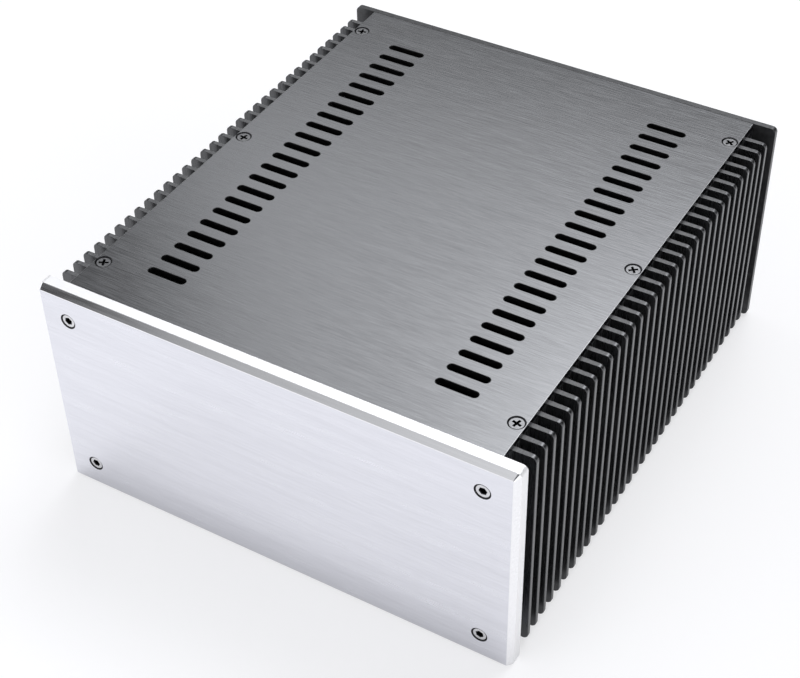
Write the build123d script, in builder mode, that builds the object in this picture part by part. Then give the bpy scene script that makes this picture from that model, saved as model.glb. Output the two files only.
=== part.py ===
from build123d import *
from math import cos, pi
import os

# Amplifier chassis: a flat aluminium case whose two side walls are finned heatsinks.
# Millimetres. X runs across the front, Y from front to back, Z up.
# The origin is the middle of the footprint, on the surface the case stands on.

# Overall
panel_width = 240.0
panel_height = 120.0
bay_length = 262.0               # clear distance between the front and rear panels
front_panel_thickness = 8.5
rear_panel_thickness = 3.0
panel_corner_radius = 2.5
front_chamfer_width = 2.0        # across the front face
front_chamfer_depth = 3.0        # back into the panel
front_lip = 1.0                  # the front panel stands above the cover by this

# Top cover and base plate
plate_thickness = 3.0
plate_end_gap = 0.1              # between a plate's end and the panel it meets
plate_edge_break = 0.4
slot_length = 20.0
slot_width = 4.0
slot_pitch = 10.0
slot_row_spacing = 147.0         # between the middles of the two rows
slot_row_margin = 25.0           # least distance from a panel to the first slot's middle

# Heatsinks
heatsink_base = 8.5
fin_depth = 11.0
fin_setback = 0.5                # fin edges stop this far inside the panel's side edge
fin_tip_thickness = 2.2
fin_root_thickness = 2.6
fin_pitch = 7.6
fin_end_margin = 9.0             # least distance from a panel to the middle of the end fin
fin_corner_radius = 2.5

# Countersunk screws
screw_diameter = 4.0
screw_head_diameter = 7.0
screw_sink = 0.4                 # the head's face lies this far below the plate
seat_clearance = 0.1             # between the head's cone and its countersink, radially
thread_clearance = 0.1           # between the thread and the tapped hole, radially
shank_clearance = 0.25           # between the shank and the plate's hole, radially
screw_engagement = 7.5           # length of thread in the heatsink
tapped_depth_spare = 2.0         # empty hole past the screw's tip
screw_end_margin = 20.0          # from a panel to the first cover screw
panel_screw_margin = 15.0        # from the panel's top or bottom edge to its screws
hex_across_flats = 3.0
hex_depth = 2.0
cross_span = 4.5
cross_arm = 1.2
cross_depth = 1.2
left_cover_screw_turns = (27, 81, 15)     # degrees, front to back, as they were tightened
right_cover_screw_turns = (75, 39, 54)

# Flats that stand for round outlines where they repeat many times
screw_flats = 16                 # round a screw, its countersink or its tapped hole
slot_end_flats = 6               # round the half circle at a slot's end
fin_corner_flats = 3             # round the quarter circle at a fin's corner

# Holes for screw-on feet in the base plate
foot_hole_diameter = 4.5
foot_hole_side_margin = 10.0     # from the heatsink's inner face
foot_hole_end_margin = 12.0      # from the panel

# Places that follow from the sizes above
front_face_y = -(front_panel_thickness + bay_length + rear_panel_thickness) / 2
front_seat_y = front_face_y + front_panel_thickness
rear_seat_y = front_seat_y + bay_length
rear_face_y = rear_seat_y + rear_panel_thickness
bay_middle_y = (front_seat_y + rear_seat_y) / 2
heatsink_bottom_z = plate_thickness
cover_top_z = panel_height - front_lip
heatsink_top_z = cover_top_z - plate_thickness
heatsink_height = heatsink_top_z - heatsink_bottom_z
fin_edge_x = panel_width / 2 - fin_setback
wall_outer_x = fin_edge_x - fin_depth
wall_inner_x = wall_outer_x - heatsink_base
screw_x = (wall_outer_x + wall_inner_x) / 2
plate_width = 2 * wall_outer_x
plate_length = bay_length - 2 * plate_end_gap
slot_count = int((bay_length - 2 * slot_row_margin) / slot_pitch) + 1
fin_count = int((bay_length - 2 * fin_end_margin) / fin_pitch) + 1
screw_row_spacing = (bay_length - 2 * screw_end_margin) / 2
panel_screw_spacing = panel_height - 2 * panel_screw_margin
foot_hole_x = wall_inner_x - foot_hole_side_margin
foot_hole_spacing_y = bay_length - 2 * foot_hole_end_margin
head_radius = screw_head_diameter / 2
countersink_radius = head_radius + screw_sink + seat_clearance
plate_hole_radius = screw_diameter / 2 + shank_clearance
tapped_radius = screw_diameter / 2 + thread_clearance
tapped_depth = screw_engagement + tapped_depth_spare

os.makedirs("parts", exist_ok=True)


def screw_form(face_radius, shank_radius, face_z, tip_z, is_hole):
    """A 90 degree cone from face_z down to the shank, and the shank on down to tip_z.

    A hole's flats lie outside its round outline and a screw's inside, so the clearance is kept.
    """
    flat_share = 1.0 if is_hole else cos(pi / screw_flats)
    neck_z = face_z - (face_radius - shank_radius) * flat_share
    with BuildPart() as form:
        with BuildSketch(Plane.XY.offset(face_z)):
            RegularPolygon(face_radius * flat_share, screw_flats, major_radius=False)
        extrude(amount=neck_z - face_z)
        cone_flats = form.faces().filter_by(Axis.Z, reverse=True)
        draft(cone_flats, neutral_plane=Plane.XY.offset(face_z), angle=-45)
        with BuildSketch(Plane.XY.offset(neck_z)):
            RegularPolygon(shank_radius * flat_share, screw_flats, major_radius=False)
        extrude(amount=tip_z - neck_z)
    return form.part


def screw_hole(plate):
    """Countersunk hole through a plate of this thickness, whose outer face is at Z 0."""
    return screw_form(countersink_radius, plate_hole_radius, 0, -plate, True)


def screw_body(plate):
    """Countersunk screw that holds a plate of this thickness, still without its recess."""
    return screw_form(head_radius, screw_diameter / 2, -screw_sink, -plate - screw_engagement, False)


def cross_screw(plate):
    """Cross-recess screw that holds a plate of this thickness."""
    with BuildPart() as screw:
        add(screw_body(plate))
        with BuildSketch(Plane.XY.offset(-screw_sink)):
            Rectangle(cross_span, cross_arm)
            Rectangle(cross_arm, cross_span)
        extrude(amount=-cross_depth, taper=12, mode=Mode.SUBTRACT)
    return screw.part


# What the screws take out of the thin plates, the panels and the heatsinks.
thin_plate_hole = screw_hole(plate_thickness)
rear_panel_hole = screw_hole(rear_panel_thickness)
front_panel_hole = screw_hole(front_panel_thickness)
with BuildPart() as tapped_hole:
    with BuildSketch():
        RegularPolygon(tapped_radius, screw_flats, major_radius=False)
    extrude(amount=-tapped_depth)

# One ventilation slot: the hull of its two round ends.
with BuildSketch() as vent_slot:
    with GridLocations(slot_length - slot_width, 0, 2, 1):
        RegularPolygon(slot_width / 2, 2 * slot_end_flats)
    make_hull()


# Front panel: thick plate with a chamfer all round its front edge.
with BuildPart() as front_panel:
    with BuildSketch(Plane.XZ.offset(-front_face_y)):
        with Locations((0, panel_height / 2)):
            RectangleRounded(panel_width, panel_height, panel_corner_radius)
    extrude(amount=-front_panel_thickness)
    front_face = front_panel.faces().sort_by(Axis.Y)[0]
    chamfer(front_face.edges(), front_chamfer_width, front_chamfer_depth, reference=front_face)
    with Locations(Plane.XZ.offset(-front_face_y) * Location((0, panel_height / 2))):
        with GridLocations(2 * screw_x, panel_screw_spacing, 2, 2):
            add(front_panel_hole, mode=Mode.SUBTRACT)
front_panel.part.label = "front_panel"
export_step(front_panel.part, "parts/front_panel.step")


# Rear panel: thin plain plate, its top edge level with the cover.
with BuildPart() as rear_panel:
    with BuildSketch(Plane.XZ.offset(-rear_seat_y)):
        with Locations((0, cover_top_z / 2)):
            RectangleRounded(panel_width, cover_top_z, panel_corner_radius)
    extrude(amount=-rear_panel_thickness)
    with Locations(Plane.ZX.offset(rear_face_y) * Location((panel_height / 2, 0))):
        with GridLocations(panel_screw_spacing, 2 * screw_x, 2, 2):
            add(rear_panel_hole, mode=Mode.SUBTRACT)
rear_panel.part.label = "rear_panel"
export_step(rear_panel.part, "parts/rear_panel.step")


# Right heatsink: a comb section extruded upwards, its fin corners rounded afterwards.
# The base wall is drilled and tapped on its top, bottom and both ends.
with BuildPart() as right_heatsink:
    with BuildSketch(Plane.XY.offset(heatsink_bottom_z)):
        with Locations((screw_x, bay_middle_y)):
            Rectangle(heatsink_base, bay_length)
        with Locations((wall_outer_x, bay_middle_y)):
            with GridLocations(0, fin_pitch, 1, fin_count):
                Polygon(
                    (0, -fin_root_thickness / 2),
                    (fin_depth, -fin_tip_thickness / 2),
                    (fin_depth, fin_tip_thickness / 2),
                    (0, fin_root_thickness / 2),
                    align=None,
                )
    extrude(amount=heatsink_height)
    with BuildSketch(Plane.XZ.offset(-rear_seat_y)):
        with Locations((wall_inner_x, heatsink_bottom_z)):
            Rectangle(heatsink_base, heatsink_height, align=Align.MIN)
        with Locations((fin_edge_x - fin_corner_radius, heatsink_bottom_z + heatsink_height / 2)):
            with GridLocations(0, heatsink_height - 2 * fin_corner_radius, 1, 2):
                RegularPolygon(fin_corner_radius, 4 * fin_corner_flats)
        make_hull()
    extrude(amount=bay_length, mode=Mode.INTERSECT)
    with Locations(Plane.XY.offset(heatsink_top_z) * Location((screw_x, bay_middle_y))):
        with GridLocations(0, screw_row_spacing, 1, 3):
            add(tapped_hole.part, mode=Mode.SUBTRACT)
    with Locations(Plane.YX.offset(-heatsink_bottom_z) * Location((bay_middle_y, screw_x))):
        with GridLocations(screw_row_spacing, 0, 3, 1):
            add(tapped_hole.part, mode=Mode.SUBTRACT)
    with Locations(Plane.XZ.offset(-front_seat_y) * Location((screw_x, panel_height / 2))):
        with GridLocations(0, panel_screw_spacing, 1, 2):
            add(tapped_hole.part, mode=Mode.SUBTRACT)
    with Locations(Plane.ZX.offset(rear_seat_y) * Location((panel_height / 2, screw_x))):
        with GridLocations(panel_screw_spacing, 0, 2, 1):
            add(tapped_hole.part, mode=Mode.SUBTRACT)
right_heatsink.part.label = "right_heatsink"
export_step(right_heatsink.part, "parts/right_heatsink.step")


# Left heatsink: the right one mirrored.
with BuildPart() as left_heatsink:
    add(mirror(right_heatsink.part, about=Plane.YZ))
left_heatsink.part.label = "left_heatsink"
export_step(left_heatsink.part, "parts/left_heatsink.step")


# Top cover: plate with two rows of ventilation slots, its long edges broken.
with BuildPart() as top_cover:
    with BuildSketch(Plane.XY.offset(heatsink_top_z)):
        with Locations((0, bay_middle_y)):
            Rectangle(plate_width, plate_length)
            with GridLocations(slot_row_spacing, slot_pitch, 2, slot_count):
                add(vent_slot.sketch, mode=Mode.SUBTRACT)
    extrude(amount=plate_thickness)
    cover_edges = top_cover.faces().sort_by(Axis.Z)[-1].edges().filter_by(Axis.Y)
    chamfer(cover_edges, plate_edge_break)
    with Locations(Plane.XY.offset(cover_top_z) * Location((0, bay_middle_y))):
        with GridLocations(2 * screw_x, screw_row_spacing, 2, 3):
            add(thin_plate_hole, mode=Mode.SUBTRACT)
top_cover.part.label = "top_cover"
export_step(top_cover.part, "parts/top_cover.step")


# Base plate: the same plate below, with four holes for feet.
with BuildPart() as base_plate:
    with BuildSketch():
        with Locations((0, bay_middle_y)):
            Rectangle(plate_width, plate_length)
            with GridLocations(slot_row_spacing, slot_pitch, 2, slot_count):
                add(vent_slot.sketch, mode=Mode.SUBTRACT)
            with GridLocations(2 * foot_hole_x, foot_hole_spacing_y, 2, 2):
                Circle(foot_hole_diameter / 2, mode=Mode.SUBTRACT)
    extrude(amount=plate_thickness)
    with Locations(Plane.YX * Location((bay_middle_y, 0))):
        with GridLocations(screw_row_spacing, 2 * screw_x, 3, 2):
            add(thin_plate_hole, mode=Mode.SUBTRACT)
base_plate.part.label = "base_plate"
export_step(base_plate.part, "parts/base_plate.step")


# Cover screws: three along each heatsink, each left at its own turn.
plate_screw = cross_screw(plate_thickness)
with BuildPart() as cover_screws:
    for row in range(3):
        screw_y = bay_middle_y + (row - 1) * screw_row_spacing
        with Locations(Location((-screw_x, screw_y, cover_top_z), (0, 0, left_cover_screw_turns[row]))):
            add(plate_screw)
        with Locations(Location((screw_x, screw_y, cover_top_z), (0, 0, right_cover_screw_turns[row]))):
            add(plate_screw)
cover_screws.part.label = "cover_screws"
export_step(cover_screws.part, "parts/cover_screws.step")


# Base screws: the same pattern from below.
with BuildPart() as base_screws:
    with Locations(Plane.YX * Location((bay_middle_y, 0))):
        with GridLocations(screw_row_spacing, 2 * screw_x, 3, 2):
            add(plate_screw)
base_screws.part.label = "base_screws"
export_step(base_screws.part, "parts/base_screws.step")


# Front panel screws: one near each corner, with a hexagon socket.
with BuildPart() as socket_screw:
    add(screw_body(front_panel_thickness))
    with BuildSketch(Plane.XY.offset(-screw_sink)):
        RegularPolygon(hex_across_flats / 2, 6, major_radius=False)
    extrude(amount=-hex_depth, mode=Mode.SUBTRACT)
with BuildPart() as front_panel_screws:
    with Locations(Plane.XZ.offset(-front_face_y) * Location((0, panel_height / 2))):
        with GridLocations(2 * screw_x, panel_screw_spacing, 2, 2):
            add(socket_screw.part)
front_panel_screws.part.label = "front_panel_screws"
export_step(front_panel_screws.part, "parts/front_panel_screws.step")


# Rear panel screws: the same places at the back.
rear_screw = cross_screw(rear_panel_thickness)
with BuildPart() as rear_panel_screws:
    with Locations(Plane.ZX.offset(rear_face_y) * Location((panel_height / 2, 0))):
        with GridLocations(panel_screw_spacing, 2 * screw_x, 2, 2):
            add(rear_screw)
rear_panel_screws.part.label = "rear_panel_screws"
export_step(rear_panel_screws.part, "parts/rear_panel_screws.step")
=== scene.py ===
# %% [markdown]
# # Amplifier chassis
# This lesson dresses a low amplifier case in Blender. The case is a thick brushed front panel, a slotted
# top cover, two black finned heatsinks that are also the side walls, and a thin black rear panel. Its
# solids come in from the frame at real size, in metres. Finer surfaces, worked out with numpy, stand for
# them here, and every finish is procedural.

# %% Load the frame
from math import pi, radians

import bmesh
import bpy
import numpy as np
from mathutils.geometry import delaunay_2d_cdt
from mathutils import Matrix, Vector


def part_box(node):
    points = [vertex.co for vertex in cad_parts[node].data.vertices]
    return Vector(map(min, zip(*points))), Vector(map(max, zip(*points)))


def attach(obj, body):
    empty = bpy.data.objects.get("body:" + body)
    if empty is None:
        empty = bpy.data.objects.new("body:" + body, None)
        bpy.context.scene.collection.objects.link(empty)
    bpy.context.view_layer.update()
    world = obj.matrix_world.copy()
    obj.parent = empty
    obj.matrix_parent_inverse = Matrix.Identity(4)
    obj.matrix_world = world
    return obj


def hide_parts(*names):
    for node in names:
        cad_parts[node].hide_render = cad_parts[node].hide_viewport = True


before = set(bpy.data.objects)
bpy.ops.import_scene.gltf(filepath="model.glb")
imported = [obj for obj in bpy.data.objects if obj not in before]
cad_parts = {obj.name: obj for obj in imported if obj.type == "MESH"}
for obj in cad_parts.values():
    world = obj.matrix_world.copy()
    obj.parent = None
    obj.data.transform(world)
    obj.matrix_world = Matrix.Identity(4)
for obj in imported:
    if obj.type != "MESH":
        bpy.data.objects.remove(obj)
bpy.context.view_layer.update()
MM = 0.001

# %% [markdown]
# ## Camera
# The camera stands in front of the right corner and looks down on the case. It could be turned by hand
# until the picture looks right, but its place, turn, focal length and shift were worked out from the
# case's straight edges instead, so the picture's lines meet where the real ones do.

# %% Camera
IMAGE_WIDTH = 800
IMAGE_HEIGHT = 678
FOCAL_PIXELS = 1694.9
AXIS_PIXEL_X = 404.5
AXIS_PIXEL_Y = 360.74
SENSOR_MM = 36.0

camera_data = bpy.data.cameras.new("camera")
camera_data.sensor_width = SENSOR_MM
camera_data.lens = FOCAL_PIXELS * SENSOR_MM / IMAGE_WIDTH
camera_data.shift_x = (IMAGE_WIDTH / 2 - AXIS_PIXEL_X) / IMAGE_WIDTH
camera_data.shift_y = (AXIS_PIXEL_Y - IMAGE_HEIGHT / 2) / IMAGE_WIDTH
camera_data.clip_start = 0.01
camera = bpy.data.objects.new("camera", camera_data)
camera.location = (0.31668, -0.54513, 0.59681)
camera.rotation_euler = (radians(47.5184), radians(0.8764), radians(30.3862))
bpy.context.scene.collection.objects.link(camera)
bpy.context.scene.camera = camera
bpy.context.scene.view_settings.view_transform = "Standard"
print("lens in mm", round(camera_data.lens, 2))

# %% [markdown]
# ## Node helpers
# A procedural material is a small graph of nodes. It could be drawn by hand in the editor, but four
# helpers that add a node, set its sockets and link it let each finish below read as a recipe.


# %% Node helpers
def add_node(tree, kind, inputs=None, **settings):
    """Adds one node, sets its properties, and gives each named input a value or a link."""
    node = tree.nodes.new(kind)
    for name, value in settings.items():
        setattr(node, name, value)
    for name, value in (inputs or {}).items():
        socket = node.inputs[name]
        if isinstance(value, bpy.types.NodeSocket):
            tree.links.new(value, socket)
        else:
            socket.default_value = value
    return node


def math_node(tree, operation, first, second=0.0):
    """One sum on two numbers or links."""
    return add_node(tree, "ShaderNodeMath", {0: first, 1: second}, operation=operation).outputs[0]


def smooth_step(tree, value, low, high, out_low=0.0, out_high=1.0):
    """A smooth change from out_low to out_high as the value goes from low to high."""
    limits = {"Value": value, "From Min": low, "From Max": high, "To Min": out_low, "To Max": out_high}
    return add_node(tree, "ShaderNodeMapRange", limits, interpolation_type="SMOOTHSTEP").outputs["Result"]


def new_material(name):
    """An empty node material and its Principled shader."""
    material = bpy.data.materials.new(name)
    material.use_nodes = True
    tree = material.node_tree
    return material, tree, tree.nodes["Principled BSDF"]


# %% [markdown]
# ## Studio light
# Metal shows what it mirrors, so the light is what most of this picture is made of. Area lamps would do,
# but their hard edges show in the chamfer and in the brushed cover. The world is built instead of
# soft-edged cards on an even ground. A card is a window in azimuth, counted from +Y towards +X, and in
# elevation.

# %% Ray direction
world = bpy.data.worlds.new("studio")
bpy.context.scene.world = world
world.use_nodes = True
sky = world.node_tree
ray_direction = add_node(sky, "ShaderNodeTexCoord").outputs["Generated"]
ray_parts = add_node(sky, "ShaderNodeSeparateXYZ", {0: ray_direction})
azimuth_radians = math_node(sky, "ARCTAN2", ray_parts.outputs["X"], ray_parts.outputs["Y"])
azimuth = math_node(sky, "DEGREES", azimuth_radians)
elevation = math_node(sky, "DEGREES", math_node(sky, "ARCSINE", ray_parts.outputs["Z"]))
print("the world has", len(sky.nodes), "nodes before its cards")

# %% Cards of light
CARD_GROUND = 0.60
TILT_AZIMUTH = -30


def window(value, opens, open_at, closes, closed_at):
    """One between open_at and closes, zero outside opens and closed_at, with smooth flanks."""
    rise = smooth_step(sky, value, opens, open_at)
    fall = smooth_step(sky, value, closes, closed_at, 1.0, 0.0)
    return math_node(sky, "MULTIPLY", rise, fall)


def card(azimuth_window, elevation_window, strength, tilt=0.0):
    """Strength times the window in azimuth times the window in elevation, where the elevation is first
    lowered by tilt degrees for each degree of azimuth past TILT_AZIMUTH, so the card's level edges climb."""
    climb = math_node(sky, "MULTIPLY", math_node(sky, "SUBTRACT", azimuth, TILT_AZIMUTH), tilt)
    height = math_node(sky, "SUBTRACT", elevation, climb)
    area = math_node(sky, "MULTIPLY", window(azimuth, *azimuth_window), window(height, *elevation_window))
    return math_node(sky, "MULTIPLY", area, strength)


broad_card = card((-46, -39, 30, 55), (29, 37, 75, 88), 0.9)
bright_card = card((-36, -12, 20, 45), (36, 50, 62, 76), 4.3)
left_card = card((-170, -150, -75, -60), (2, 8, 30, 40), 0.9)
front_card = card((-178, -160, -110, -95), (38, 46, 75, 88), 0.2)
right_card = card((72, 88, 125, 145), (-5, 2, 30, 42), 1.05)
cards = [broad_card, bright_card, left_card, front_card, right_card]
sky_level = CARD_GROUND
for card_level in cards:
    sky_level = math_node(sky, "ADD", card_level, sky_level)
print("cards of light", len(cards))

# %% [markdown]
# ## Flags
# A photographer hangs black flags so that an edge mirrors something dark and stands out. The same is done
# here by dimming the sky around an axis. One flag stands where the camera is, since the screws'
# countersinks mirror it, one darkens the chamfer's left end, one the fins' round corners, and one the
# cover's near left corner. The wall behind the case is dimmed by a card of negative strength, for the far
# end of the cover.

# %% Flags
CAMERA_AXIS = (0.38, -0.63, 0.675)
LEFT_FLAG_AXIS = (-0.67, -0.334, 0.663)
RIGHT_FLAG_AXIS = (0.70, 0.63, 0.34)
REAR_FLAG_AXIS = (-0.621, 0.485, 0.616)


def shade(level, axis, inner, outer, keep):
    """The level times a smooth rise of the angle to the axis: the share keep up to inner degrees away, and
    one from outer degrees on."""
    unit = np.array(axis) / np.linalg.norm(axis)
    cosine = add_node(sky, "ShaderNodeVectorMath", {0: ray_direction, 1: tuple(unit)},
                      operation="DOT_PRODUCT").outputs["Value"]
    angle = math_node(sky, "DEGREES", math_node(sky, "ARCCOSINE", cosine))
    return math_node(sky, "MULTIPLY", level, smooth_step(sky, angle, inner, outer, keep, 1.0))


sky_level = shade(sky_level, CAMERA_AXIS, 10, 24, 0.05)
sky_level = shade(sky_level, LEFT_FLAG_AXIS, 8, 32, 0.50)
sky_level = shade(sky_level, LEFT_FLAG_AXIS, 8, 13, 0.12)
sky_level = shade(sky_level, RIGHT_FLAG_AXIS, 14, 32, 0.10)
sky_level = shade(sky_level, REAR_FLAG_AXIS, 5, 13, 0.45)
back_wall = card((-70, -55, 35, 60), (-8, 0, 28.5, 34), -0.65, tilt=0.25)
sky_level = math_node(sky, "MULTIPLY", sky_level, math_node(sky, "ADD", back_wall, 1.0))
background = sky.nodes["Background"]
background.inputs["Color"].default_value = (0.97, 0.98, 1.0, 1.0)
sky.links.new(sky_level, background.inputs["Strength"])
print("the world has", len(sky.nodes), "nodes")

# %% [markdown]
# ## Floor
# The case stands on white paper. A stronger lamp would make the paper white, but would also burn out the
# silver panel. So part of the paper's light is its own, given to camera rays and mirror rays only, and
# the rest is the studio's, which leaves the case its shadow. In mirrors the own light fades near the foot
# of the case, because a sheet of paper gets little light in that corner.

# %% Floor
FLOOR_SIZE = 20.0
FLOOR_OWN_LEVEL = 1.155
FLOOR_SHARE_SEEN = 0.52
FLOOR_SHARE_MIRRORED = 0.60
FOOT_SHADE = 0.62
FOOT_SHADE_REACH = 0.035
FOOT_OPENNESS = (0.4, 1.0)

half_floor = FLOOR_SIZE / 2
floor_corners = [(x * half_floor, y * half_floor, 0) for x, y in ((-1, -1), (1, -1), (1, 1), (-1, 1))]
floor_mesh = bpy.data.meshes.new("floor")
floor_mesh.from_pydata(floor_corners, [], [(0, 1, 2, 3)])
floor = bpy.data.objects.new("floor", floor_mesh)
bpy.context.scene.collection.objects.link(floor)
print("floor side in m", FLOOR_SIZE)

# %% White paper
paper, paper_tree, paper_shader = new_material("white_paper")
paper_shader.inputs["Base Color"].default_value = (0.93, 0.93, 0.95, 1)
paper_shader.inputs["Roughness"].default_value = 0.9
paper_shader.inputs["Specular IOR Level"].default_value = 0.1
light_path = add_node(paper_tree, "ShaderNodeLightPath")
is_mirrored = light_path.outputs["Is Glossy Ray"]
seen = math_node(paper_tree, "MULTIPLY", light_path.outputs["Is Camera Ray"], FLOOR_SHARE_SEEN)
mirrored = math_node(paper_tree, "MULTIPLY", is_mirrored, FLOOR_SHARE_MIRRORED)
own_share = math_node(paper_tree, "MAXIMUM", seen, mirrored)
openness = add_node(paper_tree, "ShaderNodeAmbientOcclusion", {"Distance": FOOT_SHADE_REACH}, samples=8)
foot_shade = smooth_step(paper_tree, openness.outputs["AO"], *FOOT_OPENNESS, FOOT_SHADE, 0.0)
mirror_shade = math_node(paper_tree, "MULTIPLY", is_mirrored, foot_shade)
own_level = math_node(paper_tree, "SUBTRACT", FLOOR_OWN_LEVEL, mirror_shade)
own_light = add_node(paper_tree, "ShaderNodeEmission",
                     {"Color": (0.99, 0.99, 1.0, 1), "Strength": own_level})
paper_mix = add_node(paper_tree, "ShaderNodeMixShader",
                     {0: own_share, 1: paper_shader.outputs[0], 2: own_light.outputs[0]})
paper_tree.links.new(paper_mix.outputs[0], paper_tree.nodes["Material Output"].inputs["Surface"])
floor_mesh.materials.append(paper)
print("share of own light seen", FLOOR_SHARE_SEEN, "and mirrored", FLOOR_SHARE_MIRRORED)

# %% [markdown]
# ## Brushed metal
# The panel and the plates were brushed by an abrasive belt, which leaves fine scratches along one line. A
# picture of brushed metal could be wrapped on, but it repeats and blurs up close. Here two noises
# stretched along that line give the fine hairs and the broad bands at any distance. They vary the colour
# and the roughness, the hairs drive a bump, and an anisotropic highlight spreads across the scratches.


# %% Stretched noise
def stretched_noise(tree, place, scale, detail, seed):
    """Noise whose cells are drawn out: the place is moved by the seed and multiplied by the number of cells
    per metre along X, Y and Z."""
    mapping = add_node(tree, "ShaderNodeMapping",
                       {"Vector": place, "Location": (seed, 2 * seed, 3 * seed), "Scale": scale})
    noise = add_node(tree, "ShaderNodeTexNoise",
                     {"Vector": mapping.outputs[0], "Scale": 1.0, "Detail": detail, "Roughness": 0.6})
    return noise.outputs["Fac"]


def two_tone(tree, level, dark, dark_at, light, light_at):
    """Colour that runs from dark to light as the level goes from dark_at to light_at."""
    ramp = add_node(tree, "ShaderNodeValToRGB", {"Fac": level})
    ramp.color_ramp.elements[0].position = dark_at
    ramp.color_ramp.elements[0].color = (*dark, 1)
    ramp.color_ramp.elements[1].position = light_at
    ramp.color_ramp.elements[1].color = (*light, 1)
    return ramp.outputs["Color"]


# %% Brushed metal
NOISE_SPAN = (0.3, 0.7)
ROUGHNESS_SPREAD = 0.05
BUMP_DEPTH = 0.00004
HAIRS_PER_METRE = (85, 1700, 1700)
BANDS_PER_METRE = (10, 160, 160)


def brushed_metal(name, dark, light, roughness, hair_bump, anisotropy, band_share, seed):
    """Metal brushed along X. The hairs' noise and the bands' noise are averaged, the bands having band_share
    of the weight, and the average sets the colour and the roughness."""
    material, tree, shader = new_material(name)
    place = add_node(tree, "ShaderNodeTexCoord").outputs["Object"]
    hairs = stretched_noise(tree, place, HAIRS_PER_METRE, 2.0, seed)
    bands = stretched_noise(tree, place, BANDS_PER_METRE, 2.0, seed + 5)
    weighted_hairs = math_node(tree, "MULTIPLY", hairs, 1 - band_share)
    mixed = math_node(tree, "ADD", weighted_hairs, math_node(tree, "MULTIPLY", bands, band_share))
    rough = smooth_step(tree, mixed, *NOISE_SPAN,
                        roughness - ROUGHNESS_SPREAD, roughness + ROUGHNESS_SPREAD)
    along = add_node(tree, "ShaderNodeCombineXYZ", {"X": 1.0})
    bump = add_node(tree, "ShaderNodeBump", {"Height": hairs, "Strength": hair_bump, "Distance": BUMP_DEPTH})
    tree.links.new(two_tone(tree, mixed, dark, 0.32, light, 0.68), shader.inputs["Base Color"])
    tree.links.new(rough, shader.inputs["Roughness"])
    tree.links.new(along.outputs[0], shader.inputs["Tangent"])
    tree.links.new(bump.outputs["Normal"], shader.inputs["Normal"])
    shader.inputs["Metallic"].default_value = 1.0
    shader.inputs["Anisotropic"].default_value = anisotropy
    return material


silver = brushed_metal("brushed_silver", (0.735, 0.74, 0.795), (0.83, 0.835, 0.89), roughness=0.23,
                       hair_bump=0.40, anisotropy=0.5, band_share=0.5, seed=1.0)
grey = brushed_metal("brushed_grey", (0.176, 0.178, 0.185), (0.224, 0.227, 0.235), roughness=0.16,
                     hair_bump=0.60, anisotropy=0.2, band_share=0.25, seed=12.0)
print("brushed finishes", silver.name, grey.name)

# %% [markdown]
# ## Satin metal
# Milled and filed edges scatter light evenly, so they need no direction of their own. A plain gloss value
# would look like plastic, so one noise varies the colour and the roughness a little and gives a faint
# grain. The panel's edge is rough and nearly white, while the chamfer's cutter leaves it smooth.


# %% Satin metal
def satin_metal(name, dark, light, roughness, grain, bump_strength, seed, metal_share=1.0):
    """Satin surface. A noise with the given cells per metre sets its colour, its roughness and a bump. An
    oxide on the surface lowers its share of bare metal."""
    material, tree, shader = new_material(name)
    place = add_node(tree, "ShaderNodeTexCoord").outputs["Object"]
    mottle = stretched_noise(tree, place, grain, 4.0, seed)
    rough = smooth_step(tree, mottle, *NOISE_SPAN,
                        roughness - ROUGHNESS_SPREAD, roughness + ROUGHNESS_SPREAD)
    bump = add_node(tree, "ShaderNodeBump",
                    {"Height": mottle, "Strength": bump_strength, "Distance": BUMP_DEPTH})
    tree.links.new(two_tone(tree, mottle, dark, 0.35, light, 0.7), shader.inputs["Base Color"])
    tree.links.new(rough, shader.inputs["Roughness"])
    tree.links.new(bump.outputs["Normal"], shader.inputs["Normal"])
    shader.inputs["Metallic"].default_value = metal_share
    return material


silver_edge = satin_metal("silver_edge", (0.92, 0.92, 0.93), (0.96, 0.96, 0.97), roughness=0.60,
                          grain=(250, 900, 900), bump_strength=0.2, seed=21.0)
silver_chamfer = satin_metal("silver_chamfer", (0.86, 0.86, 0.88), (0.93, 0.93, 0.95), roughness=0.13,
                             grain=(25, 900, 900), bump_strength=0.1, seed=22.0)
grey_break = satin_metal("grey_break", (0.26, 0.26, 0.27), (0.36, 0.36, 0.37), roughness=0.30,
                         grain=(300, 900, 900), bump_strength=0.2, seed=27.0)
# Painted shade: a near-black for the walls of the plates' slots and holes for feet, where shade falls inside
# the openings.
painted_slot_shade = satin_metal("painted_slot_shade", (0.05, 0.05, 0.052), (0.08, 0.08, 0.083), roughness=0.40,
                       grain=(300, 300, 900), bump_strength=0.3, seed=23.0)
print("edge finishes", silver_edge.name, silver_chamfer.name, grey_break.name, painted_slot_shade.name)

# %% Screw finishes and painted shade
screw_silver = satin_metal("screw_silver", (0.62, 0.62, 0.64), (0.74, 0.74, 0.76), roughness=0.24,
                           grain=(700, 700, 700), bump_strength=0.2, seed=24.0)
screw_grey = satin_metal("screw_grey", (0.195, 0.197, 0.203), (0.265, 0.267, 0.275), roughness=0.28,
                         grain=(700, 700, 700), bump_strength=0.2, seed=25.0)
# Painted shade: a near-black put on the countersinks' cones and the screws' recesses, where shade falls.
painted_recess_shade = satin_metal("painted_recess_shade", (0.022, 0.022, 0.024), (0.038, 0.038, 0.041), roughness=0.4,
                          grain=(700, 700, 700), bump_strength=0.2, seed=26.0)
print("screw finishes", screw_silver.name, screw_grey.name, painted_recess_shade.name)

# %% [markdown]
# ## Black anodising
# The heatsinks and the rear panel have a hard black oxide, which hides the brushing and keeps a satin
# sheen. Pure metal would leave the gaps between the fins quite black, so a share of the surface is matt.
# The extrusion's die leaves faint lines that run up each fin, and the sawn ends come out matt and paler.

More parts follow.
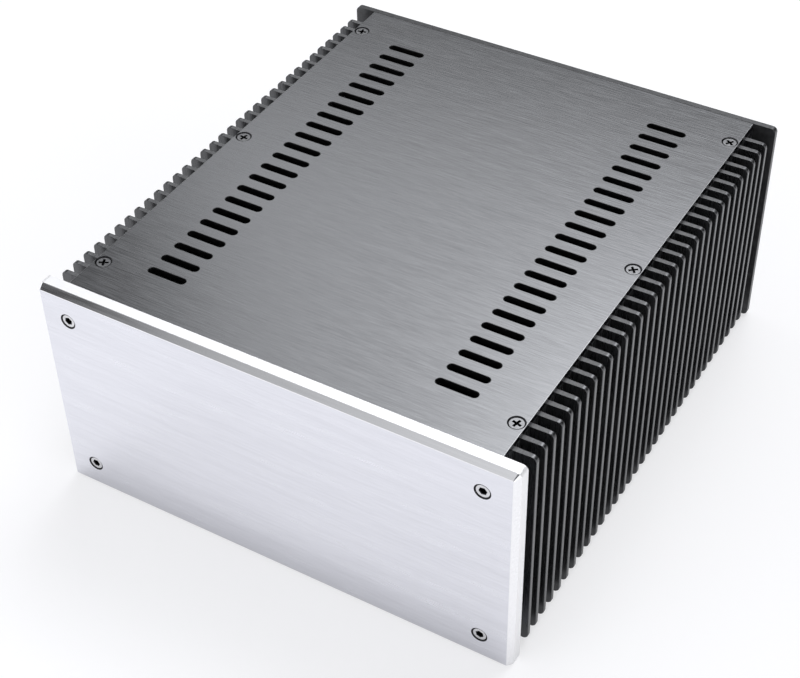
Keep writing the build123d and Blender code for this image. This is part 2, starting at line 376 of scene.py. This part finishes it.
# %% Black anodising
fin_black = satin_metal("anodised_fins", (0.086, 0.087, 0.091), (0.122, 0.124, 0.129), roughness=0.28,
                        grain=(900, 900, 40), bump_strength=0.35, seed=3.0, metal_share=0.87)
fin_sawn = satin_metal("anodised_sawn", (0.08, 0.081, 0.085), (0.15, 0.152, 0.158), roughness=0.40,
                       grain=(1200, 300, 300), bump_strength=0.4, seed=5.0, metal_share=0.0)
panel_black = satin_metal("anodised_panel", (0.065, 0.066, 0.069), (0.095, 0.096, 0.1), roughness=0.40,
                          grain=(300, 300, 300), bump_strength=0.2, seed=7.0, metal_share=0.7)
panel_edge = satin_metal("anodised_edge", (0.08, 0.081, 0.084), (0.115, 0.116, 0.119), roughness=0.38,
                         grain=(700, 700, 300), bump_strength=0.3, seed=8.0)
print("black finishes", fin_black.name, fin_sawn.name, panel_black.name, panel_edge.name)

# %% [markdown]
# ## Surfaces by formula
# Every part of the case is a plate or a section with openings. Bevel modifiers would tear the solids'
# loose triangles, so four short tools make each part afresh. An outline is a rounded rectangle, which is
# also a circle or a slot. A profile says how far the outline has grown at each depth, and carrying the
# outline down the profile gives a wall. A cap fills the flat face between outlines. The surfaces are
# welded where they meet, so each part is a closed solid.


# %% Outlines
def rounded(centre, half_size, radius, corner_steps):
    """A rounded rectangle, kept as its centre, half size, corner radius and number of steps a corner."""
    return {"centre": centre, "half_size": half_size, "radius": radius, "corner_steps": corner_steps}


def circle(centre, radius, quarter_steps):
    """A circle is a rounded rectangle with no straight sides."""
    return rounded(centre, (radius, radius), radius, quarter_steps)


def outline(shape, grow=0.0):
    """Closed outline offset outwards by grow: four quarter circles, each its corner's centre plus
    (radius + grow) times (cos t, sin t) as t goes through that quarter turn."""
    quarter = np.linspace(0, pi / 2, shape["corner_steps"] + 1)
    turn = np.arange(4)[:, None] * pi / 2 + quarter[None, :]
    side = np.array([[1, 1], [-1, 1], [-1, -1], [1, -1]])
    corner = np.array(shape["centre"]) + side * (np.array(shape["half_size"]) - shape["radius"])
    arcs = np.stack([np.cos(turn), np.sin(turn)], -1) * (shape["radius"] + grow)
    return (corner[:, None, :] + arcs).reshape(-1, 2)


print("a circle of 12 steps a quarter has", len(outline(circle((0, 0), 1, 12))), "points")


# %% Softened corners
def soften(points, reach, steps, closed=False):
    """Polyline with each corner C replaced by a curve. With A and B at the distance reach from C along its
    two sides, the curve is (1-t)^2 A + 2t(1-t) C + t^2 B as t goes from 0 to 1."""
    points = np.array(points, float)
    before = np.roll(points, 1, 0) - points
    after = np.roll(points, -1, 0) - points
    start = points + before / np.linalg.norm(before, axis=1, keepdims=True) * reach
    end = points + after / np.linalg.norm(after, axis=1, keepdims=True) * reach
    t = np.linspace(0, 1, steps + 1)[None, :, None]
    curves = (1 - t) ** 2 * start[:, None] + 2 * t * (1 - t) * points[:, None] + t ** 2 * end[:, None]
    if closed:
        return curves.reshape(-1, 2)
    return np.concatenate([points[:1], curves[1:-1].reshape(-1, 2), points[-1:]])


print("a softened right angle has", len(soften([(0, 0), (1, 0), (1, 1)], 0.2, 4)), "points")


# %% Walls
def grid_faces(rows, columns, closed):
    """Quads of a grid of points, rows by columns, whose last column meets the first one if it is closed."""
    index = np.arange(rows * columns).reshape(rows, columns)
    if closed:
        index = np.concatenate([index, index[:, :1]], 1)
    corners = [index[:-1, :-1], index[:-1, 1:], index[1:, 1:], index[1:, :-1]]
    return np.stack(corners, -1).reshape(-1, 4)


def wall(shape, profile, slot=0):
    """The outline carried down a profile. The point (i, j) is point j of the outline grown by the profile's
    first value in row i, at the depth that is its second value."""
    rows = []
    for grow, depth in profile:
        loop = outline(shape, grow)
        rows.append(np.column_stack([loop, np.full(len(loop), depth)]))
    return np.concatenate(rows), grid_faces(len(rows), len(rows[0]), True), slot


print("a grid of 3 by 5 points has", len(grid_faces(3, 5, False)), "faces")


# %% Caps
def inside(points, loops):
    """Even-odd rule: a point is inside where a line from it along +X crosses the loops an odd number of
    times."""
    start = np.concatenate(loops)[None]
    end = np.concatenate([np.roll(loop, -1, 0) for loop in loops])[None]
    points = points[:, None]
    spans = (start[..., 1] > points[..., 1]) != (end[..., 1] > points[..., 1])
    rise = np.where(end[..., 1] == start[..., 1], 1.0, end[..., 1] - start[..., 1])
    crossing = start[..., 0] + (end[..., 0] - start[..., 0]) * (points[..., 1] - start[..., 1]) / rise
    return (spans & (crossing > points[..., 0])).sum(1) % 2 == 1


def cap(loops, depth, slot=0):
    """Flat face between closed loops, cut into triangles that keep every edge of the loops. The triangles
    whose middle is outside the material are left out."""
    loops = [loop[np.linalg.norm(loop - np.roll(loop, 1, 0), axis=1) > 1e-5] for loop in loops]
    edges = []
    count = 0
    for loop in loops:
        index = count + np.arange(len(loop))
        edges.append(np.stack([index, np.roll(index, -1)], 1))
        count += len(loop)
    points = np.concatenate(loops).tolist()
    corners, _, triangles, *_ = delaunay_2d_cdt(points, np.concatenate(edges).tolist(), [], 0, 1e-6)
    corners = np.array([tuple(corner) for corner in corners])
    triangles = np.array(triangles)
    triangles = triangles[inside(corners[triangles].mean(1), loops)]
    return np.column_stack([corners, np.full(len(corners), depth)]), triangles, slot


def placed(surface, origin, along, up, inward):
    """A surface whose axes are along, up and depth, set at its origin with its depth running inward."""
    points, faces, slot = surface
    return np.array(origin, float) + points @ np.array([along, up, inward], float), faces, slot


print("a round cap of 48 points has", len(cap([outline(circle((0, 0), 1, 12))], 0.0)[1]), "triangles")

# %% Pieces
WELD = 0.002 * MM
SHARP_ANGLE = radians(38)


def joined_mesh(name, surfaces):
    """One mesh in metres from surfaces in millimetres, each face numbered on past the surfaces before it."""
    points = []
    faces = []
    slots = []
    count = 0
    for surface_points, surface_faces, slot in surfaces:
        points.append(surface_points * MM)
        faces += (surface_faces + count).tolist()
        slots.append(np.full(len(surface_faces), slot))
        count += len(surface_points)
    mesh = bpy.data.meshes.new(name)
    mesh.from_pydata(np.concatenate(points).tolist(), [], faces)
    mesh.polygons.foreach_set("material_index", np.concatenate(slots))
    return mesh


def make_piece(name, surfaces, materials):
    """Welds the surfaces into one closed solid, faces it outwards, and lets it stand for the solid of the
    same name."""
    mesh = joined_mesh(name + "_fine", surfaces)
    solid = bmesh.new()
    solid.from_mesh(mesh)
    bmesh.ops.remove_doubles(solid, verts=solid.verts, dist=WELD)
    bmesh.ops.recalc_face_normals(solid, faces=solid.faces)
    open_edges = sum(not edge.is_manifold for edge in solid.edges)
    volume_cm3 = solid.calc_volume(signed=True) * 1e6
    solid.to_mesh(mesh)
    solid.free()
    mesh.shade_smooth()
    mesh.set_sharp_from_angle(angle=SHARP_ANGLE)
    for material in materials:
        mesh.materials.append(material)
    piece = bpy.data.objects.new(name + "_fine", mesh)
    bpy.context.scene.collection.objects.link(piece)
    weighted = piece.modifiers.new("weighted_normals", "WEIGHTED_NORMAL")
    weighted.keep_sharp = True
    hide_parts(name)
    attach(piece, "root")
    print(name, "faces", len(mesh.polygons), "open edges", open_edges, "volume in cm3", round(volume_cm3, 2))


# %% [markdown]
# ## Sizes and places
# These are the real sizes in millimetres. The overall ones come from the frame, so the finer surfaces fit
# the solids that they stand for. A place says where the middle of a part's outer face is, which ways its
# two axes point, and which way is into the part.


# %% Sizes and places
def box_mm(name):
    """Lowest and highest corner of a solid in millimetres."""
    low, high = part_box(name)
    return np.array(low) / MM, np.array(high) / MM


front_low, front_high = box_mm("front_panel")
rear_low, rear_high = box_mm("rear_panel")
cover_low, cover_high = box_mm("top_cover")
sink_low, sink_high = box_mm("right_heatsink")
front_thickness = front_high[1] - front_low[1]
rear_thickness = rear_high[1] - rear_low[1]
plate_thickness = cover_high[2] - cover_low[2]
bay_middle_y = (front_high[1] + rear_low[1]) / 2

X_AXIS = (1, 0, 0)
Y_AXIS = (0, 1, 0)
Z_AXIS = (0, 0, 1)
DOWN = (0, 0, -1)
FORWARD = (0, -1, 0)
COVER_PLACE = ((0, bay_middle_y, cover_high[2]), X_AXIS, Y_AXIS, DOWN)
BASE_PLACE = ((0, bay_middle_y, 0), X_AXIS, Y_AXIS, Z_AXIS)
FRONT_PLACE = ((0, front_low[1], 0), X_AXIS, Z_AXIS, Y_AXIS)
REAR_PLACE = ((0, rear_high[1], 0), X_AXIS, Z_AXIS, FORWARD)
thicknesses = np.round([front_thickness, rear_thickness, plate_thickness], 2)
print("thickness of front panel, rear panel and plates", thicknesses)

# %% Screw places
SCREW_X = 104.25
SCREW_ROW_SPACING = 111.0
PANEL_SCREW_Z = (15.0, 105.0)

cover_screw_places = [(side * SCREW_X, row * SCREW_ROW_SPACING) for side in (-1, 1) for row in (-1, 0, 1)]
panel_screw_places = [(side * SCREW_X, z) for side in (-1, 1) for z in PANEL_SCREW_Z]
print("screws in the cover", len(cover_screw_places), "and in a panel", len(panel_screw_places))

# %% [markdown]
# ## Plates
# The cover and the base are 3 mm plates, cut out, drilled and deburred. A plate could be a box with holes
# cut by Boolean modifiers, but those leave thin slivers beside every slot. Here it is two caps, one wall
# round its border and one wall for each opening. Its border's edges are softened by 0.24 mm and its
# openings by 0.15 mm, which is what catches the light, and the break round its outer face is a paler
# grey. A countersink is a 45 degree cone from a mouth of 8 mm down to the clearance hole.

# %% Plates
EDGE_REACH = 0.15
EDGE_STEPS = 3
EDGE_LEAD = 0.3
MOUTH_RADIUS = 4.0
MOUTH_STEPS = 12
MOUTH_REACH = 0.1
SMALL_EDGE_STEPS = 2
PLATE_HOLE_RADIUS = 2.25


def countersunk(thickness):
    """Profile of a countersunk hole: level with the face at the mouth, in by the drop at a depth equal to
    the drop, then straight down."""
    drop = MOUTH_RADIUS - PLATE_HOLE_RADIUS
    return soften([(0, 0), (-drop, drop), (-drop, thickness)], MOUTH_REACH, SMALL_EDGE_STEPS)


def through(thickness):
    """Profile of a straight opening with both its edges softened."""
    corners = [(EDGE_LEAD, 0), (0, 0), (0, thickness), (EDGE_LEAD, thickness)]
    return soften(corners, EDGE_REACH, EDGE_STEPS)


def screw_openings(places, thickness, slot):
    """A countersunk hole at each place."""
    return [(circle(place, MOUTH_RADIUS, MOUTH_STEPS), countersunk(thickness), slot) for place in places]


def plate(border, edge, openings, place):
    """Surfaces of a plate. The border's edge is a list of profiles with their slots, each going on where the
    one before ends, and each opening is a shape, a profile and a slot."""
    outer_grow = edge[0][0][0][0]
    inner_grow, thickness = edge[-1][0][-1]
    outer_loops = [outline(border, outer_grow)]
    outer_loops += [outline(shape, profile[0][0]) for shape, profile, _ in openings]
    inner_loops = [outline(border, inner_grow)]
    inner_loops += [outline(shape, profile[-1][0]) for shape, profile, _ in openings]
    surfaces = [cap(outer_loops, 0.0), cap(inner_loops, thickness)]
    surfaces += [wall(border, profile, slot) for profile, slot in edge]
    surfaces += [wall(shape, profile, slot) for shape, profile, slot in openings]
    return [placed(surface, *place) for surface in surfaces]


print("a countersink's profile has", len(countersunk(plate_thickness)), "points")

# %% Slots and feet's holes
SLOT_LENGTH = 20.0
SLOT_WIDTH = 4.0
SLOT_PITCH = 10.0
SLOT_ROW_X = 73.5
SLOT_COUNT = 22
SLOT_STEPS = 8
FOOT_HOLE_RADIUS = 2.25
FOOT_HOLE_PLACE = (90.0, 119.0)

slot_y = (np.arange(SLOT_COUNT) - (SLOT_COUNT - 1) / 2) * SLOT_PITCH
slots = []
foot_holes = []
for side in (-1, 1):
    for y in slot_y:
        slot_shape = rounded((side * SLOT_ROW_X, y), (SLOT_LENGTH / 2, SLOT_WIDTH / 2), SLOT_WIDTH / 2,
                             SLOT_STEPS)
        slots.append((slot_shape, through(plate_thickness), 1))
    for end in (-1, 1):
        foot_place = (side * FOOT_HOLE_PLACE[0], end * FOOT_HOLE_PLACE[1])
        foot_holes.append((circle(foot_place, FOOT_HOLE_RADIUS, SLOT_STEPS), through(plate_thickness), 1))
print("slots", len(slots), "holes for feet", len(foot_holes))

# %% Slotted plates
PLATE_CORNER = 0.6
PLATE_BREAK = 0.24
PLATE_LEAD = 0.245
PLATE_STEPS = 4

plate_half = ((cover_high[0] - cover_low[0]) / 2, (cover_high[1] - cover_low[1]) / 2)
plate_border = rounded((0, 0), plate_half, PLATE_CORNER, PLATE_STEPS)
plate_profile = soften([(-PLATE_LEAD, 0), (0, 0), (0, plate_thickness), (-PLATE_LEAD, plate_thickness)],
                       PLATE_BREAK, PLATE_STEPS)
break_end = PLATE_STEPS + 1
plate_edge = [(plate_profile[:break_end + 1], 3), (plate_profile[break_end:], 0)]
# The slots' walls and the countersinks' cones take near-black finishes that paint the shade inside the
# openings.
plate_finishes = [grey, painted_slot_shade, painted_recess_shade, grey_break]
cover_openings = slots + screw_openings(cover_screw_places, plate_thickness, 2)
cover_surfaces = plate(plate_border, plate_edge, cover_openings, COVER_PLACE)
base_surfaces = plate(plate_border, plate_edge, cover_openings + foot_holes, BASE_PLACE)
make_piece("top_cover", cover_surfaces, plate_finishes)
make_piece("base_plate", base_surfaces, plate_finishes)

# %% [markdown]
# ## Panels
# The front panel is a thick plate whose front edge is chamfered 2 mm across its face and 3 mm back. Its
# face is brushed, its chamfer is cut smooth and its edges are satin. A Bevel modifier cuts as far into
# one face as into the other, so the chamfer is a step of the border's profile, which can be wider one way
# than the other. The rear panel is a thin black plate.

# %% Front panel
PANEL_CORNER = 2.5
PANEL_CORNER_STEPS = 8
CHAMFER_WIDTH = 2.0
CHAMFER_DEPTH = 3.0


def panel_border(low, high):
    """Border of a panel seen from its outer face, from its lowest and highest corners."""
    middle = (0, (low[2] + high[2]) / 2)
    return rounded(middle, (high[0], (high[2] - low[2]) / 2), PANEL_CORNER, PANEL_CORNER_STEPS)


front_profile = soften([(-CHAMFER_WIDTH - EDGE_LEAD, 0), (-CHAMFER_WIDTH, 0), (0, CHAMFER_DEPTH),
                        (0, front_thickness), (-EDGE_LEAD, front_thickness)], EDGE_REACH, EDGE_STEPS)
chamfer_end = 2 * EDGE_STEPS + 2
front_edge = [(front_profile[:chamfer_end + 1], 1), (front_profile[chamfer_end:], 2)]
front_openings = screw_openings(panel_screw_places, front_thickness, 3)
front_surfaces = plate(panel_border(front_low, front_high), front_edge, front_openings, FRONT_PLACE)
# The countersinks' cones take the near-black that paints the shade in them.
front_finishes = [silver, silver_chamfer, silver_edge, painted_recess_shade]
make_piece("front_panel", front_surfaces, front_finishes)

# %% Rear panel
REAR_LEAD = 0.5

rear_profile = soften([(-REAR_LEAD, 0), (0, 0), (0, rear_thickness), (-REAR_LEAD, rear_thickness)],
                      EDGE_REACH, EDGE_STEPS)
rear_openings = screw_openings(panel_screw_places, rear_thickness, 0)
rear_edge = [(rear_profile, 1)]
rear_surfaces = plate(panel_border(rear_low, rear_high), rear_edge, rear_openings, REAR_PLACE)
make_piece("rear_panel", rear_surfaces, [panel_black, panel_edge])

# %% [markdown]
# ## Heatsinks
# A heatsink is sawn from an extruded bar whose section is a thick wall with tapered fins. An Array
# modifier could repeat one fin, but its copies would have to be joined to the wall. Carrying the whole
# section up gives one grid of two parameters, the way along the section and the height. Near the top and
# the bottom the fins grow shorter by a quarter circle, because their corners were rounded off after the
# extrusion.

# %% Heights of the section
WALL_THICKNESS = 8.5
FIN_DEPTH = 11.0
FIN_CORNER = 2.5

sink_bottom = sink_low[2]
sink_top = sink_high[2]
wall_inner_x = sink_low[0]
wall_outer_x = wall_inner_x + WALL_THICKNESS
sink_front = sink_low[1]
sink_rear = sink_high[1]

# Rows lie close together near an end, where the edge and the fins' corners turn
from_end = np.array([0.0, 0.03, 0.08, 0.15, 0.35, 0.7, 1.15, 1.75, FIN_CORNER])
height = np.concatenate([sink_bottom + from_end, (sink_top - from_end)[::-1]])
to_end = np.minimum(height - sink_bottom, sink_top - height)
corner_rise = np.maximum(FIN_CORNER - to_end, 0)
fin_reach = FIN_DEPTH - FIN_CORNER + np.sqrt(FIN_CORNER ** 2 - corner_rise ** 2)
edge_rise = np.maximum(EDGE_REACH - to_end, 0)
inset = EDGE_REACH - np.sqrt(EDGE_REACH ** 2 - edge_rise ** 2)
print("fins reach from", round(fin_reach.min(), 2), "to", round(fin_reach.max(), 2), "mm")

# %% Comb section
FIN_TIP = 2.2
FIN_ROOT = 2.6
FIN_PITCH = 7.6
FIN_COUNT = 33
FIN_EDGE_RADIUS = 0.3
FIN_EDGE_STEPS = 4


def comb_points():
    """Point (k, s) is step s along the comb section at height k. A fin's side goes from its root, half the
    root thickness off its middle, to its tip, where a quarter circle turns each corner. The thickness falls
    evenly with the reach, and the reach is the fin's depth at that height."""
    half_tip = FIN_ROOT / 2 + (FIN_TIP - FIN_ROOT) / 2 * fin_reach / FIN_DEPTH - inset
    half_root = FIN_ROOT / 2 - inset
    turn = np.linspace(0, pi / 2, FIN_EDGE_STEPS + 1)
    out = fin_reach[:, None] - inset[:, None] - FIN_EDGE_RADIUS * (1 - np.sin(turn))
    side = half_tip[:, None] - FIN_EDGE_RADIUS * (1 - np.cos(turn))
    root = -inset[:, None]
    fin_out = np.concatenate([root, out, out[:, ::-1], root], 1)
    fin_side = np.concatenate([-half_root[:, None], -side, side[:, ::-1], half_root[:, None]], 1)
    fin_y = bay_middle_y + (np.arange(FIN_COUNT) - (FIN_COUNT - 1) / 2) * FIN_PITCH
    comb_x = np.tile(fin_out, (1, FIN_COUNT))
    comb_y = (fin_y[None, :, None] + fin_side[:, None, :]).reshape(len(height), -1)
    comb_x = wall_outer_x + np.concatenate([root, comb_x, root], 1)
    ends = np.ones((len(height), 1))
    comb_y = np.concatenate([sink_front * ends, comb_y, sink_rear * ends], 1)
    return np.stack([comb_x, comb_y, np.broadcast_to(height[:, None], comb_x.shape)], -1)


print("rows and columns of the comb", comb_points().shape[:2])

# %% Heatsinks
TAPPED_RADIUS = 2.1
TAPPED_DEPTH = 9.5
TAPPED_STEPS = 8


def tapped_face(border, spots, place, slot):
    """Flat face of the wall with a blind hole at each spot. A hole is one wall whose last row closes on the
    middle of its floor."""
    holes = [circle(spot, TAPPED_RADIUS, TAPPED_STEPS) for spot in spots]
    hole_profile = [(0, 0), (0, TAPPED_DEPTH), (-TAPPED_RADIUS, TAPPED_DEPTH)]
    surfaces = [cap([border] + [outline(hole) for hole in holes], 0.0, slot)]
    surfaces += [wall(hole, hole_profile, 0) for hole in holes]
    return [placed(surface, *place) for surface in surfaces]


def heatsink(side):
    """Surfaces of the heatsink on one side, where side is 1 on the right and -1 on the left."""
    comb = comb_points()
    surfaces = [(comb.reshape(-1, 3), grid_faces(len(height), comb.shape[1], False), 0)]
    inner_face = [(wall_inner_x, sink_front, sink_bottom), (wall_inner_x, sink_rear, sink_bottom),
                  (wall_inner_x, sink_rear, sink_top), (wall_inner_x, sink_front, sink_top)]
    surfaces.append((np.array(inner_face), np.array([[0, 1, 2, 3]]), 0))
    cover_spots = [(SCREW_X, bay_middle_y + row * SCREW_ROW_SPACING) for row in (-1, 0, 1)]
    for level, z, inward in ((-1, sink_top, DOWN), (0, sink_bottom, Z_AXIS)):
        inner_edge = [[wall_inner_x, sink_rear], [wall_inner_x, sink_front]]
        border = np.concatenate([comb[level, :, :2], inner_edge])
        surfaces += tapped_face(border, cover_spots, ((0, 0, z), X_AXIS, Y_AXIS, inward), 1)
    panel_spots = [(SCREW_X, z) for z in PANEL_SCREW_Z]
    for step, y, inward in ((0, sink_front, Y_AXIS), (-1, sink_rear, FORWARD)):
        inner_edge = [[wall_inner_x, sink_top], [wall_inner_x, sink_bottom]]
        border = np.concatenate([comb[:, step][:, [0, 2]], inner_edge])
        surfaces += tapped_face(border, panel_spots, ((0, y, 0), X_AXIS, Z_AXIS, inward), 0)
    return [(points * np.array([side, 1, 1]), faces, slot) for points, faces, slot in surfaces]


make_piece("right_heatsink", heatsink(1), [fin_black, fin_sawn])
make_piece("left_heatsink", heatsink(-1), [fin_black, fin_sawn])

# %% [markdown]
# ## Screws
# A countersunk screw is turned: a flat head with a thin rim, a 45 degree cone and a shank. The Screw
# modifier could spin it, but the head's face has to meet its recess. So the head is a wall like any
# other, its face is a cap with the recess's outline left out, and the recess is a cross or a hexagon with
# softened corners, carried down while it narrows and closed by a shallow cone.

# %% Recesses
CROSS_SPAN = 4.5
CROSS_ARM = 1.2
CROSS_DEPTH = 1.2
CROSS_FLOOR_DROP = 0.4
HEX_FLATS = 3.0
HEX_DEPTH = 2.0
HEX_BEVEL = 0.3
HEX_FLOOR_DROP = 0.3
RECESS_REACH = 0.12
RECESS_STEPS = 3


def cross(shrink):
    """Cross of two arms, each side moved in by shrink, with softened corners: one arm's end and the inner
    corner after it, turned to each quarter."""
    tip = CROSS_SPAN / 2 - shrink
    arm = CROSS_ARM / 2 - shrink
    quarter = np.array([(tip, -arm), (tip, arm), (arm, arm)])
    turn = np.arange(4) * pi / 2
    rotation = np.stack([np.cos(turn), -np.sin(turn), np.sin(turn), np.cos(turn)], -1).reshape(4, 2, 2)
    corners = np.einsum("kij,pj->kpi", rotation, quarter).reshape(-1, 2)
    return soften(corners, RECESS_REACH, RECESS_STEPS, closed=True)


def hexagon(shrink):
    """Hexagon by its width across flats, each side moved in by shrink, with softened corners: the radius
    times (cos a, sin a) at six even angles. The radius is half the width over the cosine of 30 degrees."""
    angle = np.arange(6) * pi / 3
    radius = (HEX_FLATS / 2 - shrink) / np.cos(pi / 6)
    corners = np.stack([radius * np.cos(angle), radius * np.sin(angle)], 1)
    return soften(corners, RECESS_REACH, RECESS_STEPS, closed=True)


def recess(shape, rows, floor_drop):
    """The recess's walls, where each row is a shrink and a depth, closed on a point below its floor."""
    loops = [np.column_stack([shape(shrink), np.full(len(shape(shrink)), depth)]) for shrink, depth in rows]
    point = np.zeros_like(loops[-1])
    point[:, 2] = rows[-1][1] + floor_drop
    loops.append(point)
    return np.concatenate(loops), grid_faces(len(loops), len(point), True), 1


print("points round a cross", len(cross(0.0)), "and round a hexagon", len(hexagon(0.0)))

# %% One screw
HEAD_RADIUS = 3.5
HEAD_SINK = 0.4
HEAD_RIM = 0.32
SHANK_RADIUS = 2.0
ENGAGEMENT = 7.5
TIP_CHAMFER = 0.5
SCREW_REACH = 0.06
TURN_STEPS = 12


def screw(thickness, shape, rows, floor_drop):
    """Surfaces of one countersunk screw, its head's face at depth HEAD_SINK and its axis at (0, 0)."""
    slope = HEAD_RADIUS - SHANK_RADIUS
    tip = thickness + ENGAGEMENT
    corners = [(-HEAD_RIM, HEAD_SINK), (0, HEAD_SINK), (-slope, HEAD_SINK + slope),
               (-slope, tip - TIP_CHAMFER), (-slope - TIP_CHAMFER, tip)]
    head = circle((0, 0), HEAD_RADIUS, TURN_STEPS)
    return [
        cap([outline(head, -HEAD_RIM), shape(rows[0][0])], HEAD_SINK, 0),
        wall(head, soften(corners, SCREW_REACH, SMALL_EDGE_STEPS), 1),
        cap([outline(head, -slope - TIP_CHAMFER)], tip, 0),
        recess(shape, rows, floor_drop),
    ]


def screw_set(surfaces, spots, turns, place):
    """One screw's surfaces repeated at each spot, each point first turned about the screw's own axis."""
    copies = []
    for (u, v), turn in zip(spots, turns):
        cosine = np.cos(radians(turn))
        sine = np.sin(radians(turn))
        rotation = np.array([[cosine, sine, 0], [-sine, cosine, 0], [0, 0, 1]])
        for points, faces, slot in surfaces:
            copies.append(placed((points @ rotation + [u, v, 0], faces, slot), *place))
    return copies


cross_rows = [(0.0, HEAD_SINK), (0.12, HEAD_SINK + 0.6), (0.25, HEAD_SINK + CROSS_DEPTH)]
hex_rows = [(-HEX_BEVEL, HEAD_SINK), (0.0, HEAD_SINK + HEX_BEVEL), (0.0, HEAD_SINK + HEX_DEPTH)]
cross_screw = screw(plate_thickness, cross, cross_rows, CROSS_FLOOR_DROP)
socket_screw = screw(front_thickness, hexagon, hex_rows, HEX_FLOOR_DROP)
print("points of one cross screw", sum(len(points) for points, _, _ in cross_screw))

# %% [markdown]
# ## Sets of screws
# Nobody tightens screws to the same angle, so the ones that show are turned one by one. The cover's turns
# are the real case's, from front to back on each side. The front panel's sockets are too small to read,
# so their turns are made up, and the hidden screws are left straight.

# %% Sets of screws
LEFT_COVER_TURNS = (27, 81, 15)
RIGHT_COVER_TURNS = (75, 39, 54)
FRONT_TURNS = (0, 20, 40, 10)
NO_TURNS = (0,) * 6

cover_set = screw_set(cross_screw, cover_screw_places, LEFT_COVER_TURNS + RIGHT_COVER_TURNS, COVER_PLACE)
base_set = screw_set(cross_screw, cover_screw_places, NO_TURNS, BASE_PLACE)
front_set = screw_set(socket_screw, panel_screw_places, FRONT_TURNS, FRONT_PLACE)
rear_set = screw_set(cross_screw, panel_screw_places, NO_TURNS, REAR_PLACE)
# The screws' recesses take the near-black that paints the shade in them.
make_piece("cover_screws", cover_set, [screw_grey, painted_recess_shade])
make_piece("base_screws", base_set, [screw_grey, painted_recess_shade])
make_piece("front_panel_screws", front_set, [screw_silver, painted_recess_shade])
make_piece("rear_panel_screws", rear_set, [screw_grey, painted_recess_shade])
